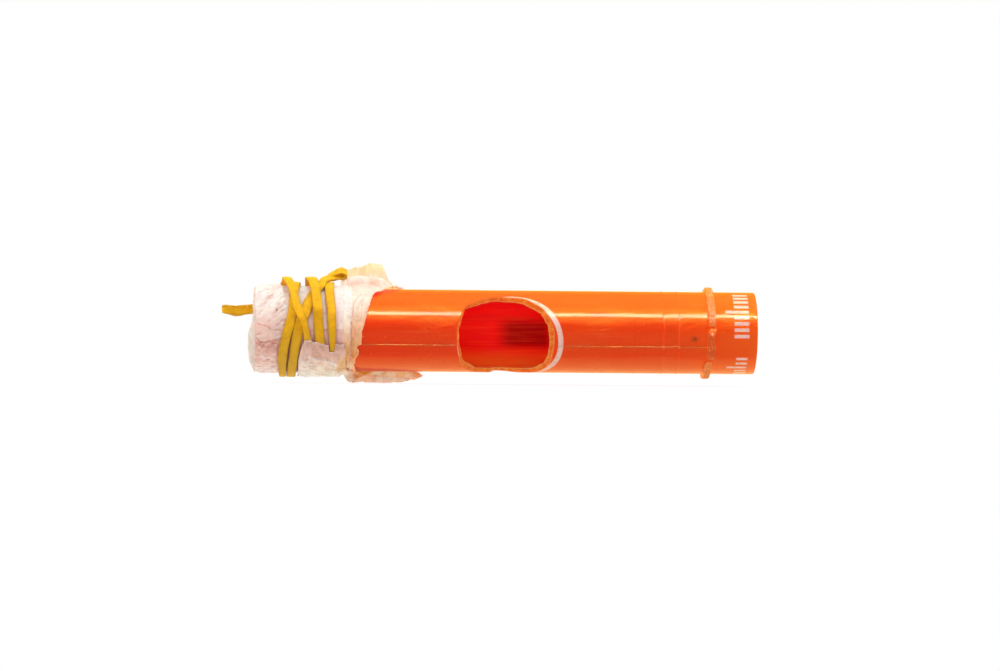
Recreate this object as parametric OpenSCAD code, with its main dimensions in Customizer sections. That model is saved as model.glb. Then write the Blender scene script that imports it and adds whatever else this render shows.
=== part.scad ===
// Home-made mirliton: a plastic tube with a hole cut in its side, one end covered by
// a crumpled tissue membrane that a wound rubber band holds on.
// The tube lies along X. The origin is the centre of the open end, where the player hums,
// and the covered end is at minus X. Angles round the tube start at the front, minus Y,
// and grow towards the top. Lengths along the tissue and the band start at the covered end.

/* [Tube] */
// Outside diameter of the tube
tube_od = 24.6; // [22:0.1:27]
// Thickness of the tube's wall
wall = 1.35; // [1:0.05:2]
// Length of the tube
tube_len = 149.5; // [140:0.5:165]
// Broken edge on the tube's rims
rim_chamfer = 0.3; // [0.1:0.05:0.45]

/* [Mould marks] */
// Height of the two parting seams that run along the tube
seam_h = 0.12; // [0.05:0.01:0.16]
// Radius of the round back of a seam
seam_r = 0.4; // [0.3:0.05:0.8]
// Angle of the front seam
seam_angle = -20.5; // [-40:0.5:0]
// Height of the two hairline rings near the open end
hairline_h = 0.2; // [0.1:0.05:0.4]
// Width of a hairline ring at its foot
hairline_w = 0.5; // [0.3:0.05:1]
// Distance from the open end to the nearer hairline ring
hairline_x = 23.5; // [20:0.5:27]
// Distance between the two hairline rings
hairline_gap = 4.5; // [2:0.5:8]

/* [Stub of the cut-off flange] */
// Distance from the open end to the stub
stub_x = 12.9; // [8:0.1:16]
// Width of the stub along the tube
stub_w = 2.4; // [1.5:0.1:3.5]
// Height of the stub above the tube
stub_h = 1.4; // [1:0.1:2.5]
// Number of bites that the cutters left round the stub
bite_count = 11; // [6:1:20]
// Radius of a bite
bite_r = 2.1; // [1.5:0.1:3]

/* [Side hole] */
// Distance from the open end to the middle of the hole
hole_x = 75.4; // [70:0.5:82]
// Length of the hole along the tube, at the outside surface
hole_len = 29; // [20:0.5:34]
// Angle that the hole takes up round the tube, at the outside surface
hole_span = 148; // [90:1:160]
// Angle of the middle of the hole
hole_angle = -19; // [-30:1:0]
// Squareness of the hole's outline, where 2 is an ellipse
hole_square = 2.45; // [2:0.05:3]
// How far the knife's bevel narrows the hole through the wall
hole_bevel = 1.25; // [0.6:0.05:1.6]
// Waviness of the knife cut
hole_wave = 0.22; // [0:0.02:0.4]

/* [Tissue] */
// Thickness of the crumpled tissue
tissue_t = 0.25; // [0.2:0.01:0.35]
// Clearance between the tissue and the tube
tissue_gap = 0.2; // [0.18:0.01:0.4]
// Bulge of the membrane out of the covered end
bulge = 1.9; // [1:0.1:3]
// Height of the loose folds round the rim
rim_puff = 0.45; // [0.2:0.05:0.6]
// Length of the tissue's sleeve along the front of the tube
sleeve_len = 33.3; // [33:0.1:38]
// How much longer the sleeve is at the top than at the front
sleeve_slant = 3.9; // [0:0.1:4.5]
// Height of the pleat that runs round the sleeve beside the band
pleat_h = 0.5; // [0.2:0.05:0.8]
// Height of the loose corner that stands up behind the top
flare_h = 8.6; // [5:0.1:11]
// How far the upper corner reaches past the sleeve's edge
flare_reach = 8; // [4:0.5:12]
// Height of the loose corner that hangs under the tube
flap_h = 3.7; // [3:0.1:5]
// How far the lower corner reaches past the sleeve's edge
flap_reach = 26; // [16:0.5:30]
// Depth of the flat on which the lower corner rests
rest_flat = 0.5; // [0.3:0.05:0.8]

/* [Rubber band] */
// Width of the band
band_w = 2.6; // [2:0.1:2.7]
// Thickness of the band
band_t = 0.8; // [0.6:0.05:0.9]
// Clearance between the band and the tissue under it
band_gap = 0.2; // [0.18:0.01:0.4]
// Clear space where one turn passes over another
cross_gap = 0.75; // [0.6:0.05:1]
// Reach of the left ear past the covered end
ear_reach = 10.3; // [6:0.1:14]
// Height of the upper ear above the band's seat
ear_rise = 3.6; // [3.2:0.1:6]

/* [Hidden] */

tube_r = tube_od / 2;
bore_r = tube_r - wall;
overlap = 0.4;     // how deep a raised mark is rooted in the wall
past = 1;          // how far a cut runs past what it cuts
round_fn = 96;
golden = 137.5;    // steps round the bites without repeating

// A point x along the tube, at angle a and radius r
function place(x, a, r) = [x, -r * cos(a), r * sin(a)];

// 0 below lo, 1 above hi, smooth between
function ramp(v, lo, hi) =
    let (t = min(1, max(0, (v - lo) / (hi - lo))))
    t * t * (3 - 2 * t);

// A hump round mid, about width wide on each side, for angles that wrap round
function hump(a, mid, width) =
    let (d = abs(((a - mid) % 360 + 540) % 360 - 180))
    exp(-pow(d / width, 2));

// Triangles between two rings of n points that start at p and q. They face outwards where
// the points go round with growing angle and q lies further along X, or further out, than p.
function skin(p, q, n) = [
    for (j = [0 : n - 1])
        let (k = (j + 1) % n)
        each [[p + j, q + k, q + j], [p + j, p + k, q + k]]
];

function flipped(faces) = [for (f = faces) [f[2], f[1], f[0]]];

function flat_list(lists) = [for (l = lists) each l];

// ---- Tube ----

module barrel() {
    c = rim_chamfer;
    rotate([0, -90, 0])
        rotate_extrude($fn = round_fn)
            polygon([
                [bore_r, 0], [tube_r - c, 0], [tube_r, c],
                [tube_r, tube_len - c], [tube_r - c, tube_len], [bore_r, tube_len]
            ]);
}

module seam(angle) {
    run = tube_len - stub_x - rim_chamfer;
    translate(place(-stub_x, angle, tube_r + seam_h - seam_r))
        rotate([0, -90, 0])
            cylinder(h = run, r = seam_r, $fn = 32);
}

module hairline(x) {
    rotate([0, -90, 0])
        translate([0, 0, x])
            rotate_extrude($fn = round_fn)
                polygon([
                    [tube_r - overlap, -hairline_w / 2],
                    [tube_r, -hairline_w / 2],
                    [tube_r + hairline_h, 0],
                    [tube_r, hairline_w / 2],
                    [tube_r - overlap, hairline_w / 2]
                ]);
}

// What is left of a moulded flange that was nipped off by hand
module flange_stub() {
    shallow = 0.06;
    deep = 0.5;
    lean = 24;
    difference() {
        rotate([0, -90, 0])
            translate([0, 0, stub_x])
                rotate_extrude($fn = round_fn)
                    polygon([
                        [tube_r - overlap, 0],
                        [tube_r + stub_h * 0.8, 0],
                        [tube_r + stub_h, stub_w * 0.3],
                        [tube_r + stub_h * 0.9, stub_w * 0.8],
                        [tube_r + stub_h * 0.3, stub_w],
                        [tube_r - overlap, stub_w]
                    ]);
        for (k = [0 : bite_count - 1]) {
            depth = stub_h * (shallow + (deep - shallow) * (0.5 + sin(k * golden) / 2));
            translate(place(-stub_x - stub_w / 2, k * 360 / bite_count, tube_r + stub_h - depth + bite_r))
                rotate([-k * 360 / bite_count, 0, 0])
                    rotate([0, 0, lean * cos(k * golden)])
                        rotate([0, 90, 0])
                            cylinder(h = 3 * stub_w, r = bite_r, center = true, $fn = 32);
        }
    }
}

// The knife's cut: a slab bent round the tube, wider outside than inside. Its outline is a
// superellipse on the unrolled surface, and its two faces follow the tube's curve.
module hole_cutter() {
    around = 48;
    steps = 7;
    outer_r = tube_r + past;
    inner_r = bore_r - past;
    slope = hole_bevel / wall;

    // Half sizes of the outline at radius r, as a length and an angle
    function half_len(r) = hole_len / 2 + (r - tube_r) * slope;
    function half_span(r) = hole_span / 2 + (r - tube_r) * slope / tube_r * 180 / PI;

    function wave(b) = 1 + hole_wave / (hole_len / 2) * (sin(5 * b + 40) + 0.6 * sin(11 * b));
    function unit(v) = sign(v) * pow(abs(v), 2 / hole_square);
    function outline(b, share, r) = place(
        -hole_x + half_len(r) * share * wave(b) * unit(cos(b)),
        hole_angle + half_span(r) * share * wave(b) * unit(sin(b)),
        r
    );
    function disc(r) = [
        place(-hole_x, hole_angle, r),
        for (i = [1 : steps]) for (j = [0 : around - 1]) outline(j * 360 / around, i / steps, r)
    ];
    function disc_faces(base) = [
        for (j = [0 : around - 1]) [base, base + 1 + (j + 1) % around, base + 1 + j],
        for (i = [0 : steps - 2])
            each skin(base + 1 + i * around, base + 1 + (i + 1) * around, around)
    ];

    inner_base = 1 + steps * around;
    rim = 1 + (steps - 1) * around;
    polyhedron(
        points = concat(disc(outer_r), disc(inner_r)),
        faces = concat(
            disc_faces(0),
            flipped(disc_faces(inner_base)),
            skin(rim, inner_base + rim, around)
        )
    );
}

module tube() {
    color([0.95, 0.33, 0.12])
        difference() {
            union() {
                barrel();
                seam(seam_angle);
                seam(seam_angle + 180);
                hairline(hairline_x);
                hairline(hairline_x + hairline_gap);
                flange_stub();
            }
            hole_cutter();
        }
}

// ---- Tissue ----

tissue_r = tube_r + tissue_gap;              // inner face of the sleeve
tissue_top = tissue_r + tissue_t;            // outer face of the sleeve
sleeve_segs = 40;
seg = 360 / sleeve_segs;

// Angles of the two loose corners' middles and of the band's left ear, with their widths
flare_angle = 112.5;
flare_width = 14;
flap_angle = -97;
flap_width = 20;
corner_width = 18;
ear_angle = 157;

pleat_s = 26.3;        // middle of the round pleat, from the covered end
pleat_w = 0.9;
puff_end = 6.2;        // the rim's loose folds end where the band starts

// Length of the sleeve at angle a
function sleeve_edge(a) = sleeve_len + sleeve_slant * sin(a)
    + flare_reach * hump(a, 100, corner_width + 4)
    + flap_reach * hump(a, flap_angle - 8, corner_width)
    + 0.5 * sin(7 * a);

// How far the sleeve stands off its smooth seat, at s from the covered end and angle a
function sleeve_lift(s, a) =
    rim_puff * (1 + 0.6 * sin(a) + 0.4 * sin(8 * a + 20 * s))
        * ramp(s, -0.5, 1) * (1 - ramp(s, 2.5, puff_end)) * (1 - hump(a, ear_angle, 26))
    + pleat_h * exp(-pow((s - pleat_s) / pleat_w, 2))
    + 0.3 * ramp(s, pleat_s + 2, pleat_s + 6) * (1 + sin(9 * a)) / 2
    + flare_h * hump(a, flare_angle, flare_width)
        * ramp(s, pleat_s - 1, pleat_s + 3.5) * (1 - 0.9 * ramp(s, 36, 44))
    + flap_h * hump(a, flap_angle, flap_width)
        * ramp(s, pleat_s - 1, pleat_s + 3) * (1 - 0.85 * ramp(s, 45, 56));

rest_z = -(tissue_top + flap_h) + rest_flat;

// The lower corner lies flat on what it rests on
function rested(p, floor_z) = [p.x, p.y, max(p.z, floor_z)];

// The bulge of the membrane is deepest below the middle
function dome_x(f, a) = -tube_len - tissue_gap / 2
    - bulge * (1 - f * f) * (1 - 0.35 * f * sin(a));

dome_steps = [0.42, 0.8];
even_steps = [0, 1, 3.2, puff_end, 12, 18, pleat_s - 1.9, pleat_s - 0.8, pleat_s, pleat_s + 1];
edge_steps = [0.3, 0.65, 1];

module membrane() {
    function sleeve_s(i, a) = i < len(even_steps)
        ? even_steps[i]
        : let (last = even_steps[len(even_steps) - 1])
            last + edge_steps[i - len(even_steps)] * (sleeve_edge(a) - last);

    // side is 0 for the inner face and 1 for the outer one
    function dome_ring(f, side) = [
        for (j = [0 : sleeve_segs - 1])
            let (a = (j + 0.5) * seg)
            place(dome_x(f, a) - side * tissue_t, a, (tissue_r + side * tissue_t) * f)
    ];
    function sleeve_ring(i, side) = [
        for (j = [0 : sleeve_segs - 1])
            let (a = (j + 0.5) * seg, s = sleeve_s(i, a))
            rested(
                place(
                    -tube_len + s - (i == 0 ? tissue_gap / 2 + side * tissue_t : 0),
                    a,
                    tissue_r + side * tissue_t + sleeve_lift(s, a)
                ),
                rest_z + (1 - side) * tissue_t
            )
    ];
    sleeve_rings = len(even_steps) + len(edge_steps);
    rings = len(dome_steps) + sleeve_rings;
    function side_points(side) = [
        [dome_x(0, 0) - side * tissue_t, 0, 0],
        for (f = dome_steps) each dome_ring(f, side),
        for (i = [0 : sleeve_rings - 1]) each sleeve_ring(i, side)
    ];
    function side_faces(base) = [
        for (j = [0 : sleeve_segs - 1])
            [base, base + 1 + (j + 1) % sleeve_segs, base + 1 + j],
        for (i = [0 : rings - 2])
            each skin(base + 1 + i * sleeve_segs, base + 1 + (i + 1) * sleeve_segs, sleeve_segs)
    ];
    outer_base = 1 + rings * sleeve_segs;
    edge = 1 + (rings - 1) * sleeve_segs;
    color([0.95, 0.84, 0.78])
        polyhedron(
            points = concat(side_points(0), side_points(1)),
            faces = concat(
                flipped(side_faces(0)),
                side_faces(outer_base),
                skin(outer_base + edge, edge, sleeve_segs)
            )
        );
}

// ---- Rubber band ----

seat_r = tissue_top + band_gap + band_t / 2;     // middle of the band where it lies flat
cross_lift = band_t + cross_gap;

// Where each turn passes the top, the front, the bottom and the back, from the covered end
turns = [
    [11.9, 9.1, 7.8, 7.5],
    [8.6, 15.0, 15.0, 15.6],
    [16.6, 18.9, 19.6, 20.4],
    [22.6, 22.6, 23.2, 21.6],
    [19.0, 12.7, 11.2, 11.5]
];
turn_marks = flat_list(turns);
mark_count = len(turn_marks);

// Stretches, in degrees along the winding from the top of the first turn, that ride over others
lifted = [[305, 456], [680, 772], [1308, 1410]];
lift_ramp = 24;

function spline(p, q, r, s, t) = 0.5 * (
    2 * q + (r - p) * t
    + (2 * p - 5 * q + 4 * r - s) * t * t
    + (3 * q - p - 3 * r + s) * t * t * t
);
function mark(i) = turn_marks[(i + mark_count) % mark_count];
function turn_s(w) =
    let (i = floor(w / 90), t = w / 90 - i)
    spline(mark(i - 1), mark(i), mark(i + 1), mark(i + 2), t);
function turn_lift(w) = max([
    for (l = lifted) ramp(w, l[0] - lift_ramp, l[0]) * (1 - ramp(w, l[1], l[1] + lift_ramp))
]);

// A ring's place on the route: [s, degrees along the winding, height over the seat, yaw, roll].
// Yaw turns the band's flat from across the tube, 0, to along it, and roll tips it on edge.
function wound(w, yaw) = [turn_s(w), w, cross_lift * turn_lift(w), yaw, 0];

ring_step = 15;
back = -ear_reach;
left_ear = [
    [6.4, 283, 0.05, -30, 0], [4.2, 289, 0.3, -62, 0], [1.2, 292, 0.55, -85, 0],
    [back * 0.25, 293, 0.6, -90, 0], [back * 0.6, 294, 0.65, -90, 0], [back + 1.4, 294.5, 0.75, -90, 0],
    [back + 0.3, 295, 1.1, -90, 0], [back, 295.5, 1.7, -90, 0], [back + 0.3, 296, 2.3, -90, 0],
    [back + 1.4, 296, 2.65, -90, 0], [back * 0.6, 296, 2.6, -90, 0], [back * 0.25, 297, 2.5, -90, 0],
    [1.2, 298, 2.3, -95, 0], [4.2, 301, 2.0, -118, 0], [6.2, 307, 1.7, -150, 0]
];
top_ear = [
    [19.7, 1404, 1.6, -155, -10], [20.2, 1417, 2.0, -125, -22], [21.6, 1428, 2.6, -100, -32],
    [23.4, 1435, 0.9 * ear_rise, -92, -38], [25.2, 1439, ear_rise + 0.1, -90, -40],
    [26.2, 1440, ear_rise - 0.15, -90, -40], [26.6, 1440, ear_rise - 0.8, -90, -40],
    [26.1, 1439, ear_rise - 1.5, -90, -40], [24.9, 1438, 1.85, -90, -38],
    [23.0, 1438, 1.6, -88, -34], [21.2, 1441, 1.45, -75, -26], [19.8, 1450, 1.0, -48, -12],
    [19.0, 1462, 0.35, -22, 0]
];
route = concat(
    [for (w = [0 : ring_step : 270]) wound(w, 0)],
    left_ear,
    [for (w = [315 : ring_step : 1395]) wound(w, -180)],
    top_ear,
    [for (w = [1470 : ring_step : 1785]) wound(w, 0)]
);
ring_count = len(route);

function ring_at(i) = route[(i + ring_count) % ring_count];
// The winding runs down the front, so its angle falls from 90 at the top
function turn_angle(k) = 90 - k[1];
function middle(k) = place(-tube_len + k[0], turn_angle(k), seat_r + k[2]);
function unit3(v) = v / norm(v);
function run(i) = unit3(middle(ring_at(i + 1)) - middle(ring_at(i - 1)));
function across(k, t) =
    let (
        a = turn_angle(k),
        raw = cos(k[4]) * (cos(k[3]) * [1, 0, 0] + sin(k[3]) * [0, sin(a), cos(a)])
            + sin(k[4]) * [0, -cos(a), sin(a)]
    )
    unit3(raw - (raw * t) * t);

// The band's cross-section: flat, with six sides, as shares of half its width and thickness
section = [[1, 0], [0.74, 1], [-0.74, 1], [-1, 0], [-0.74, -1], [0.74, -1]];
function band_ring(i) =
    let (k = ring_at(i), t = run(i), w = across(k, t), n = cross(w, t))
    [for (c = section) middle(k) + w * (c[0] * band_w / 2) + n * (c[1] * band_t / 2)];

band_rings = [for (i = [0 : ring_count - 1]) band_ring(i)];

// Least distance between points of the band that are not neighbours along it
apart = 6;
function ring_gap(p, q) = min([for (u = p) for (v = q) norm(u - v)]);
least_gap = min([
    for (i = [0 : ring_count - 1])
        for (j = [i + apart : 1 : min(ring_count - 1, i + ring_count - apart)])
            if (norm(band_rings[i][0] - band_rings[j][0]) < 3 * band_w)
                ring_gap(band_rings[i], band_rings[j])
]);

module rubber_band() {
    sides = len(section);
    echo(least_gap_of_the_band_to_itself = least_gap);
    color([0.88, 0.62, 0.12])
        polyhedron(
            points = flat_list(band_rings),
            faces = flat_list([
                for (i = [0 : ring_count - 1])
                    skin(i * sides, ((i + 1) % ring_count) * sides, sides)
            ])
        );
}

// ---- Tissue lap: a corner of the sheet that is folded back over the band ----

lap_gap = 0.15;
lap_from = 13.4;
lap_to = 24.7;
lap_top = -14;
lap_end = -100;
lap_cols = 8;
lap_rows = 12;

module tissue_lap() {
    r = seat_r + band_t / 2 + lap_gap;
    across_n = lap_cols + 1;
    // The upper edge climbs from the second turn's foot to the band's last turn
    function upper(u) = lap_top - 18 * (1 - ramp(u, 0.22, 0.42)) - 5 * ramp(u, 0.6, 0.8);
    function lower(u) = lap_end + 8 * sin(200 * u);
    function row(v, side) = [
        for (i = [0 : lap_cols])
            let (u = i / lap_cols, a = upper(u) + (lower(u) - upper(u)) * v)
            place(
                -tube_len + lap_from + (lap_to - lap_from) * u,
                a,
                r + side * tissue_t + 0.12 * (1 + sin(540 * u + 2 * a)) * ramp(v, 0, 0.2)
            )
    ];
    function sheet(side) = flat_list([for (j = [0 : lap_rows]) row(j / lap_rows, side)]);
    function grid(base) = [
        for (j = [0 : lap_rows - 1]) for (i = [0 : lap_cols - 1])
            let (p = base + j * across_n + i, q = p + across_n)
            each [[p, q + 1, q], [p, p + 1, q + 1]]
    ];
    // The points round the edge, in order
    border = concat(
        [for (i = [0 : lap_cols]) i],
        [for (j = [1 : lap_rows]) j * across_n + lap_cols],
        [for (i = [1 : lap_cols]) lap_rows * across_n + lap_cols - i],
        [for (j = [1 : lap_rows - 1]) (lap_rows - j) * across_n]
    );
    top = across_n * (lap_rows + 1);
    n = len(border);
    color([0.9, 0.8, 0.76])
        polyhedron(
            points = concat(sheet(0), sheet(1)),
            faces = concat(
                flipped(grid(0)),
                grid(top),
                [for (k = [0 : n - 1])
                    let (p = border[k], q = border[(k + 1) % n])
                    each [[p, q, q + top], [p, q + top, p + top]]]
            )
        );
}

tube();
membrane();
tissue_lap();
rubber_band();
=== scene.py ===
# A home-made mirliton: the look of a plastic tube, its crumpled tissue membrane and the wound
# rubber band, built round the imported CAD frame. Lengths are in millimetres until a mesh is made.
import math
from functools import partialmethod

import bmesh
import bpy
import numpy as np
from mathutils import Matrix, Vector


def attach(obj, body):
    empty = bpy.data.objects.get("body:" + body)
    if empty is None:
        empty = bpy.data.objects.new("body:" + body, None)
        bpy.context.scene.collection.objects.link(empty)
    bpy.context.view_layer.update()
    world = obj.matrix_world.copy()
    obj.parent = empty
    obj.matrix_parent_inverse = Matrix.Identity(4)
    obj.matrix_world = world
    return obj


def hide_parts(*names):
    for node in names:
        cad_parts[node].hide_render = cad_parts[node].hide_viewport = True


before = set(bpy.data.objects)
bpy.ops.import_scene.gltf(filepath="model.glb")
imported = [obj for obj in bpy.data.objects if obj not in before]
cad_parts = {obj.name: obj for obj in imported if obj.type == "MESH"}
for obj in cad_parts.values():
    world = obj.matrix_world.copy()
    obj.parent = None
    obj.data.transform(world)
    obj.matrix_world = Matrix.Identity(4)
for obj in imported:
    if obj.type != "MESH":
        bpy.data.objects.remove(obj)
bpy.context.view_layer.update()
MM = 0.001
WELD = 0.001             # points nearer than this become one

# ---- sizes, as in the part's source
TUBE_R, WALL, TUBE_LEN, CHAMFER = 12.3, 1.35, 149.5, 0.3
BORE_R = TUBE_R - WALL
SEAM_ANGLE = -20.5
HAIR_X, HAIR_GAP = 23.5, 4.5
STUB_X, STUB_W, STUB_H = 12.9, 2.4, 1.4
HOLE_X, HOLE_LEN, HOLE_SPAN, HOLE_ANGLE, HOLE_SQUARE, BEVEL = 75.4, 29.0, 148.0, -19.0, 2.45, 1.25
TISSUE_T, TISSUE_GAP, BULGE = 0.25, 0.2, 1.9
TISSUE_R = TUBE_R + TISSUE_GAP
TISSUE_TOP = TISSUE_R + TISSUE_T
BAND_T, BAND_GAP, CROSS_GAP = 0.8, 0.2, 0.75
EAR_REACH, EAR_RISE = 10.3, 3.6
SEAT_R = TISSUE_TOP + BAND_GAP + BAND_T / 2
REST_Z = -15.95
TOP_LIFT = 0.55          # the sheet is thicker over the top, so the band stands higher there

# ---- small tools
rad = np.radians


def place(x, a, r):
    """Points x along the tube, at angle a (0 front, 90 top) and radius r."""
    x, a, r = np.broadcast_arrays(np.asarray(x, float), np.asarray(a, float), np.asarray(r, float))
    return np.stack([x, -r * np.cos(rad(a)), r * np.sin(rad(a))], -1)


def ramp(v, lo, hi):
    """0 up to lo, 1 from hi on."""
    t = np.clip((np.asarray(v, float) - lo) / (hi - lo), 0, 1)
    return t * t * (3 - 2 * t)


def span(v, lo, full, fade, hi):
    """0 up to lo, 1 from full to fade, and 0 again from hi on."""
    return ramp(v, lo, full) * (1 - ramp(v, fade, hi))


def turn(a, mid):
    """Signed angle from mid to a, from -180 to 180."""
    return (np.asarray(a, float) - mid + 540) % 360 - 180


def peak(off, width):
    """1 where off is 0, and near 0 from two widths on."""
    return np.exp(-((off / width) ** 2))


def hump(a, mid, width):
    """The same, round an angle."""
    return peak(turn(a, mid), width)


def rand(ix, iy, iz, seed):
    """A fixed random number from 0 to 1 for each cell of space."""
    n = (ix * 73856093) ^ (iy * 19349663) ^ (iz * 83492791) ^ (seed * 2654435 + 974711)
    n = (n ^ (n >> 13)) * 1274126177 & 0x7FFFFFFF
    n = (n ^ (n >> 16)) * 668265263 & 0x7FFFFFFF
    return (n & 0xFFFFF) / float(0xFFFFF)


def noise(p, seed=0):
    """Smooth noise from -1 to 1 at points p, about one feature per unit."""
    p = np.asarray(p, float)
    i = np.floor(p).astype(np.int64)
    f = p - i
    f = f * f * f * (f * (f * 6 - 15) + 10)
    total = np.zeros(p.shape[:-1])
    for corner in np.ndindex(2, 2, 2):
        near = np.where(corner, f, 1 - f)
        total += near[..., 0] * near[..., 1] * near[..., 2] * rand(*np.moveaxis(i + corner, -1, 0), seed)
    return total * 2 - 1


def noise_at(x, seed, y=0, z=0):
    """The same noise along x, at fixed or matching y and z."""
    return noise(np.stack([x, x * 0 + y, x * 0 + z], -1), seed)


TURNED = np.array([[0.36, 0.48, -0.8], [-0.8, 0.6, 0], [0.48, 0.64, 0.6]])


def fold(p, seed=0, sharp=0.12):
    """Crumpled noise: flat facets that meet in sharp ridges, from -1 to 1."""
    n = noise(p, seed)
    return 1 - 2 * np.sqrt(n * n + sharp * sharp * 0.1) * 1.6


def grid(rows, cols, wrap=True, base=0, flip=False):
    """Quads of a rows x cols grid of points, closed round the columns where wrap is set."""
    i = np.arange(rows - 1)[:, None]
    j = np.arange(cols if wrap else cols - 1)[None, :]
    k = (j + 1) % cols
    q = np.stack(np.broadcast_arrays(i * cols + j, i * cols + k, (i + 1) * cols + k, (i + 1) * cols + j), -1)
    q = q.reshape(-1, 4) + base
    return q[:, ::-1] if flip else q


def new_object(name, data):
    ob = bpy.data.objects.new(name, data)
    bpy.context.scene.collection.objects.link(ob)
    return ob


class Shape:
    """Collects grids of points and their faces, welds them and makes one object."""

    def __init__(self):
        self.points, self.faces, self.marks, self.count = [], [], [], 0

    def add(self, points, wrap=True, flip=False, mark=0):
        points = np.asarray(points, float)
        rows, cols = points.shape[:2]
        self.faces.append(grid(rows, cols, wrap, self.count, flip))
        self.points.append(points.reshape(-1, 3))
        self.marks.append(np.full(len(self.faces[-1]), mark))
        self.count += rows * cols

    def make(self, name, materials, sharp=35, values=()):
        p = np.concatenate(self.points)
        f = np.concatenate(self.faces)
        m = np.concatenate(self.marks)
        key = np.floor(p / WELD + 0.31).astype(np.int64)
        _, first, back = np.unique(key, axis=0, return_index=True, return_inverse=True)
        back = back.reshape(-1)
        f = back[f]
        p = p[first]
        faces, marks = [], []
        for q, mark in zip(f.tolist(), m.tolist()):
            q = [v for n, v in enumerate(q) if v != q[n - 1]]
            if len(q) > 2 and len(set(q)) == len(q):
                faces.append(q)
                marks.append(mark)
        mesh = bpy.data.meshes.new(name)
        mesh.from_pydata((p * MM).tolist(), [], faces)
        mesh.polygons.foreach_set("material_index", marks)
        work = bmesh.new()
        work.from_mesh(mesh)
        bmesh.ops.holes_fill(work, edges=[e for e in work.edges if e.is_boundary], sides=8)
        bmesh.ops.recalc_face_normals(work, faces=work.faces)
        work.to_mesh(mesh)
        work.free()
        for material in materials:
            mesh.materials.append(material)
        for label, data in values:
            data = np.asarray(data, float)[first]
            kind, field = ("FLOAT_COLOR", "color") if data.ndim == 2 else ("FLOAT", "value")
            if data.ndim == 2:
                data = np.c_[data, np.ones(len(data))]
            mesh.attributes.new(label, kind, "POINT").data.foreach_set(field, data.astype(np.float32).ravel())
        mesh.polygons.foreach_set("use_smooth", [True] * len(mesh.polygons))
        if sharp:
            mesh.set_sharp_from_angle(angle=rad(sharp))
        mesh.update()
        return new_object(name, mesh)


class Nodes:
    """Short forms for building a material's nodes."""

    def __init__(self, tree):
        self.tree = tree
        tree.nodes.clear()

    def put(self, kind, *links, **options):
        """Adds a node and joins its first sockets; options set its own settings (small letters) or sockets."""
        node = self.tree.nodes.new("ShaderNode" + kind)
        for key in [key for key in options if key.islower()]:
            setattr(node, key, options.pop(key))
        for n, link in enumerate(links):
            self.join(node.inputs[n], link)
        for key, value in options.items():
            self.join(node.inputs[key.replace("_", " ")], value)
        return node

    def join(self, socket, value):
        if value is None:
            return
        if isinstance(value, bpy.types.Node):
            value = value.outputs[0]
        if isinstance(value, bpy.types.NodeSocket):
            self.tree.links.new(value, socket)
        elif isinstance(value, tuple) and socket.type == "RGBA":
            socket.default_value = (*value, 1)
        else:
            socket.default_value = value

    def calc(self, op, a, b=None, c=None, clamp=False):
        return self.put("Math", a, b, c, operation=op, use_clamp=clamp).outputs[0]

    add, sub = partialmethod(calc, "ADD"), partialmethod(calc, "SUBTRACT")
    mul, most = partialmethod(calc, "MULTIPLY"), partialmethod(calc, "MAXIMUM")

    def length(self, a, b):
        return self.calc("SQRT", self.add(self.mul(a, a), self.mul(b, b)))

    def map(self, value, lo, hi, at_lo=0, at_hi=1):
        """Turns lo to hi into at_lo to at_hi, and stays there beyond them."""
        return self.put("MapRange", value, lo, hi, at_lo, at_hi).outputs[0]

    def over(self, base, *layers):
        """base with other colours laid over it: factor, colour, factor, colour ..."""
        for fac, colour in zip(layers[::2], layers[1::2]):
            node = self.put("Mix", data_type="RGBA")
            for n, value in ((0, fac), (6, base), (7, colour)):
                self.join(node.inputs[n], value)
            base = node.outputs[2]
        return base

    def band(self, value, lo, hi, soft):
        """1 where value lies between lo and hi, with soft edges."""
        return self.mul(self.map(value, lo - soft, lo + soft), self.map(value, hi - soft, hi + soft, 1, 0))

    def here(self):
        """The place on the object, in millimetres."""
        return self.put("VectorMath", self.put("TexCoord").outputs["Object"], (1000, 1000, 1000),
            operation="MULTIPLY").outputs[0]

    def noise(self, vector, scale, detail=3, rough=0.5):
        return self.put("TexNoise", Vector=vector, Scale=scale, Detail=detail, Roughness=rough).outputs[0]

    def scaled(self, vector, x, y, z):
        return self.put("Mapping", vector, None, None, (x, y, z)).outputs[0]


def new_material(name):
    material = bpy.data.materials.new(name)
    material.use_nodes = True
    return material, Nodes(material.node_tree)


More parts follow.
